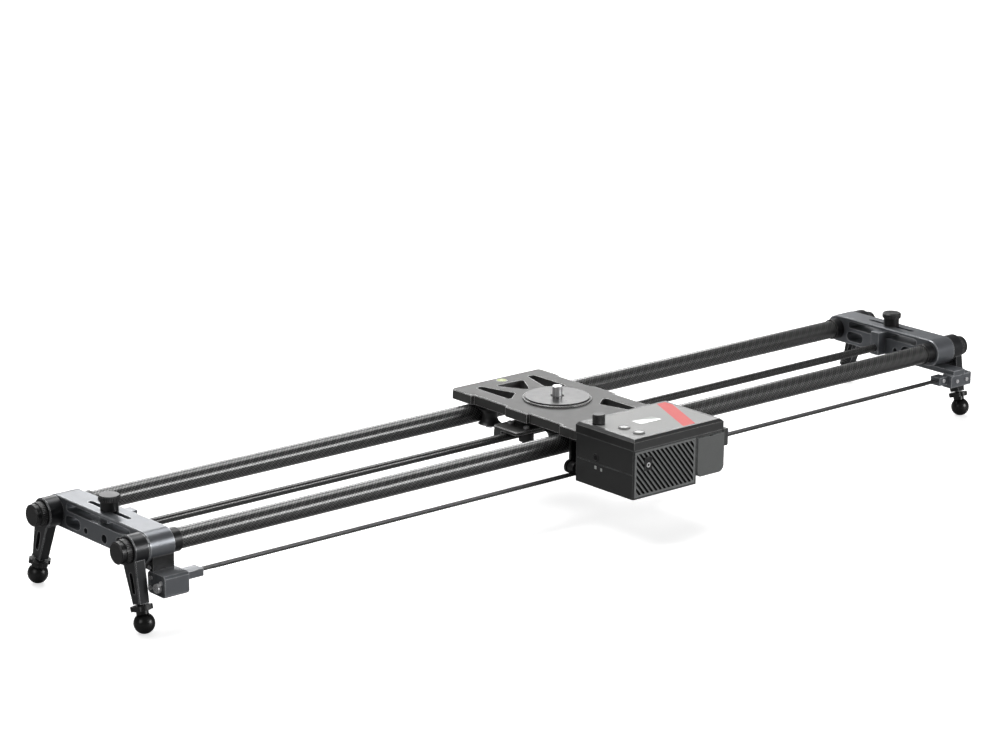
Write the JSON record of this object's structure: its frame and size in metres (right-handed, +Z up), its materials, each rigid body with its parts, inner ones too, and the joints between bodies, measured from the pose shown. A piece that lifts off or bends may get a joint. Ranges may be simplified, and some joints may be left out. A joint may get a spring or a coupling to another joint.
{
  "type": "camera slider",
  "caption": "Motorised camera slider: twin carbon rails, folding legs, shifting middle rod and a roller carriage with turntable and belt drive unit.",
  "frame": {"origin": "root of the camera screw, on the turntable's mounting face at the middle of the carriage, carriage at rest", "axes": "+X along the rails to the belt's anchored end, +Y to the rear, away from the drive unit, +Z up"},
  "size_m": [1.0252, 0.2509, 0.1041],
  "materials": {
    "carbon": "glossy clear-coated carbon weave",
    "cap_grey": "satin blue-grey anodised, bright chamfers",
    "deck_grey": "satin gunmetal anodised, bright chamfers",
    "leg_grey": "satin dark grey anodised",
    "black_metal": "satin black",
    "foot_rubber": "semi-matte black",
    "ring_plastic": "matte black moulded",
    "belt_rubber": "matte black",
    "roller_plastic": "matte black turned",
    "bright_steel": "bright turned",
    "case_plastic": "fine-textured charcoal",
    "lid_plastic": "satin black",
    "panel_gloss": "glossy printed overlay, light grey with a red band",
    "button_ring": "light grey with a dark ring",
    "motor_case": "drawn can",
    "board_green": "solder mask",
    "bubble_glass": "yellow-green vial"
  },
  "bodies": {
    "frame": {"rail_front": "carbon", "rail_rear": "carbon", "end_cap_left": "cap_grey", "end_cap_right": "cap_grey", "rail_collars": "black_metal", "drive_belt": "belt_rubber", "tensioner_body": "cap_grey", "tensioner_bracket": "black_metal", "belt_tongue": "cap_grey", "belt_anchor": "cap_grey"},
    "pan_rod": {"pan_rod": "carbon", "rod_clamp_left": "cap_grey", "rod_clamp_right": "cap_grey"},
    "carriage": {"carriage_plate": "deck_grey", "bubble_level": "bubble_glass", "roller_axles": "bright_steel", "drive_housing": "case_plastic", "drive_lid": "lid_plastic", "control_panel": "panel_gloss", "grille": "case_plastic", "gear_motor": "motor_case", "circuit_board": "board_green", "belt_guard": "black_metal", "battery_guide": "case_plastic"},
    "rod_knob_left": {"rod_knob_left": "black_metal"},
    "rod_knob_right": {"rod_knob_right": "black_metal"},
    "leg_front_left": {"leg_front_left": "leg_grey"},
    "foot_front_left": {"foot_front_left": "foot_rubber", "foot_ring_front_left": "ring_plastic"},
    "leg_knob_front_left": {"leg_knob_front_left": "black_metal"},
    "roller_front_left": {"roller_front_left": "roller_plastic"},
    "leg_rear_left": {"leg_rear_left": "leg_grey"},
    "foot_rear_left": {"foot_rear_left": "foot_rubber", "foot_ring_rear_left": "ring_plastic"},
    "leg_knob_rear_left": {"leg_knob_rear_left": "black_metal"},
    "roller_rear_left": {"roller_rear_left": "roller_plastic"},
    "leg_front_right": {"leg_front_right": "leg_grey"},
    "foot_front_right": {"foot_front_right": "foot_rubber", "foot_ring_front_right": "ring_plastic"},
    "leg_knob_front_right": {"leg_knob_front_right": "black_metal"},
    "roller_front_right": {"roller_front_right": "roller_plastic"},
    "leg_rear_right": {"leg_rear_right": "leg_grey"},
    "foot_rear_right": {"foot_rear_right": "foot_rubber", "foot_ring_rear_right": "ring_plastic"},
    "leg_knob_rear_right": {"leg_knob_rear_right": "black_metal"},
    "roller_rear_right": {"roller_rear_right": "roller_plastic"},
    "follower": {"follower_bracket": "deck_grey"},
    "follower_roller_front": {"follower_roller_front": "roller_plastic"},
    "follower_roller_rear": {"follower_roller_rear": "roller_plastic"},
    "turntable": {"turntable": "deck_grey", "turntable_pad": "foot_rubber", "camera_screw": "bright_steel"},
    "drive_pulley": {"drive_pulley": "bright_steel"},
    "guide_roller_left": {"guide_roller_left": "roller_plastic"},
    "guide_roller_right": {"guide_roller_right": "roller_plastic"},
    "speed_button": {"speed_button": "button_ring"},
    "mode_button": {"mode_button": "button_ring"},
    "lock_knob": {"lock_knob": "black_metal"},
    "battery": {"battery": "case_plastic"},
    "tension_screw": {"tension_screw": "bright_steel"}
  },
  "joints": [
    {"name": "carriage_slide", "type": "slide", "parent": "frame", "child": "carriage", "axis": [1, 0, 0], "range_m": [-0.4, 0.365]},
    {"name": "pan_rod_shift", "type": "slide", "parent": "frame", "child": "pan_rod", "axis": [0, 1, 0], "range_m": [-0.016, 0.016]},
    {"name": "rod_knob_left_turn", "type": "hinge", "parent": "pan_rod", "child": "rod_knob_left", "pos_m": [-0.496, 0, -0.0085], "axis": [0, 0, 1], "continuous": true},
    {"name": "rod_knob_right_turn", "type": "hinge", "parent": "pan_rod", "child": "rod_knob_right", "pos_m": [0.456, 0, -0.0085], "axis": [0, 0, 1], "continuous": true},
    {"name": "leg_front_left_fold", "type": "hinge", "parent": "frame", "child": "leg_front_left", "pos_m": [-0.5084, -0.0619, -0.022], "axis": [1, 0, 0], "range_deg": [-74, 60]},
    {"name": "foot_front_left_level", "type": "slide", "parent": "leg_front_left", "child": "foot_front_left", "axis": [0, -0.2701, -0.9628], "range_m": [0, 0.006]},
    {"name": "leg_knob_front_left_turn", "type": "hinge", "parent": "frame", "child": "leg_knob_front_left", "pos_m": [-0.5084, -0.0619, -0.022], "axis": [1, 0, 0], "continuous": true},
    {"name": "roller_front_left_spin", "type": "hinge", "parent": "carriage", "child": "roller_front_left", "pos_m": [-0.042, -0.0459, -0.022], "axis": [0, 0, 1], "range_deg": [-3400, 3400]},
    {"name": "leg_rear_left_fold", "type": "hinge", "parent": "frame", "child": "leg_rear_left", "pos_m": [-0.5084, 0.0619, -0.022], "axis": [1, 0, 0], "range_deg": [-60, 74]},
    {"name": "foot_rear_left_level", "type": "slide", "parent": "leg_rear_left", "child": "foot_rear_left", "axis": [0, 0.2701, -0.9628], "range_m": [0, 0.006]},
    {"name": "leg_knob_rear_left_turn", "type": "hinge", "parent": "frame", "child": "leg_knob_rear_left", "pos_m": [-0.5084, 0.0619, -0.022], "axis": [1, 0, 0], "continuous": true},
    {"name": "roller_rear_left_spin", "type": "hinge", "parent": "carriage", "child": "roller_rear_left", "pos_m": [-0.042, 0.0459, -0.022], "axis": [0, 0, 1], "range_deg": [-3400, 3400]},
    {"name": "leg_front_right_fold", "type": "hinge", "parent": "frame", "child": "leg_front_right", "pos_m": [0.4684, -0.0619, -0.022], "axis": [1, 0, 0], "range_deg": [-2, 60]},
    {"name": "foot_front_right_level", "type": "slide", "parent": "leg_front_right", "child": "foot_front_right", "axis": [0, -0.2701, -0.9628], "range_m": [0, 0.006]},
    {"name": "leg_knob_front_right_turn", "type": "hinge", "parent": "frame", "child": "leg_knob_front_right", "pos_m": [0.4684, -0.0619, -0.022], "axis": [1, 0, 0], "continuous": true},
    {"name": "roller_front_right_spin", "type": "hinge", "parent": "carriage", "child": "roller_front_right", "pos_m": [0.042, -0.0459, -0.022], "axis": [0, 0, 1], "range_deg": [-3400, 3400]},
    {"name": "leg_rear_right_fold", "type": "hinge", "parent": "frame", "child": "leg_rear_right", "pos_m": [0.4684, 0.0619, -0.022], "axis": [1, 0, 0], "range_deg": [-60, 74]},
    {"name": "foot_rear_right_level", "type": "slide", "parent": "leg_rear_right", "child": "foot_rear_right", "axis": [0, 0.2701, -0.9628], "range_m": [0, 0.006]},
    {"name": "leg_knob_rear_right_turn", "type": "hinge", "parent": "frame", "child": "leg_knob_rear_right", "pos_m": [0.4684, 0.0619, -0.022], "axis": [1, 0, 0], "continuous": true},
    {"name": "roller_rear_right_spin", "type": "hinge", "parent": "carriage", "child": "roller_rear_right", "pos_m": [0.042, 0.0459, -0.022], "axis": [0, 0, 1], "range_deg": [-3400, 3400]},
    {"name": "follower_shift", "type": "slide", "parent": "carriage", "child": "follower", "axis": [0, 1, 0], "range_m": [-0.016, 0.016]},
    {"name": "follower_roller_front_spin", "type": "hinge", "parent": "follower", "child": "follower_roller_front", "pos_m": [-0.047, -0.01085, -0.028], "axis": [0, 0, 1], "range_deg": [-3400, 3400]},
    {"name": "follower_roller_rear_spin", "type": "hinge", "parent": "follower", "child": "follower_roller_rear", "pos_m": [-0.047, 0.01085, -0.028], "axis": [0, 0, 1], "range_deg": [-3400, 3400]},
    {"name": "turntable_turn", "type": "hinge", "parent": "carriage", "child": "turntable", "pos_m": [0, 0, -0.003], "axis": [0, 0, 1], "continuous": true},
    {"name": "drive_pulley_spin", "type": "hinge", "parent": "carriage", "child": "drive_pulley", "pos_m": [0, -0.08, -0.0388], "axis": [0, 1, 0], "range_deg": [-3900, 3900]},
    {"name": "guide_roller_left_spin", "type": "hinge", "parent": "carriage", "child": "guide_roller_left", "pos_m": [-0.051, -0.08, -0.0398], "axis": [0, 1, 0], "range_deg": [-4700, 4700]},
    {"name": "guide_roller_right_spin", "type": "hinge", "parent": "carriage", "child": "guide_roller_right", "pos_m": [0.051, -0.08, -0.0398], "axis": [0, 1, 0], "range_deg": [-4700, 4700]},
    {"name": "speed_button_press", "type": "slide", "parent": "carriage", "child": "speed_button", "axis": [0, 0, -1], "range_m": [0, 0.001], "stiffness_N_per_m": 400},
    {"name": "mode_button_press", "type": "slide", "parent": "carriage", "child": "mode_button", "axis": [0, 0, -1], "range_m": [0, 0.001], "stiffness_N_per_m": 400},
    {"name": "lock_knob_turn", "type": "hinge", "parent": "carriage", "child": "lock_knob", "pos_m": [-0.045, -0.105, 0.006], "axis": [0, 0, 1], "continuous": true},
    {"name": "battery_slide", "type": "slide", "parent": "carriage", "child": "battery", "axis": [0, -1, 0], "range_m": [0, 0.03]},
    {"name": "tension_screw_turn", "type": "hinge", "parent": "frame", "child": "tension_screw", "pos_m": [-0.506, -0.084, -0.0512], "axis": [1, 0, 0], "continuous": true}
  ],
  "couplings": [
    {"joint": "roller_front_left_spin", "follows": "carriage_slide", "rad_per_m": -142.86},
    {"joint": "roller_rear_left_spin", "follows": "carriage_slide", "rad_per_m": 142.86},
    {"joint": "roller_front_right_spin", "follows": "carriage_slide", "rad_per_m": -142.86},
    {"joint": "roller_rear_right_spin", "follows": "carriage_slide", "rad_per_m": 142.86},
    {"joint": "follower_shift", "follows": "pan_rod_shift", "ratio": 1},
    {"joint": "follower_roller_front_spin", "follows": "carriage_slide", "rad_per_m": 142.86},
    {"joint": "follower_roller_rear_spin", "follows": "carriage_slide", "rad_per_m": -142.86},
    {"joint": "drive_pulley_spin", "follows": "carriage_slide", "rad_per_m": 166.67},
    {"joint": "guide_roller_left_spin", "follows": "carriage_slide", "rad_per_m": 200},
    {"joint": "guide_roller_right_spin", "follows": "carriage_slide", "rad_per_m": 200}
  ]
}
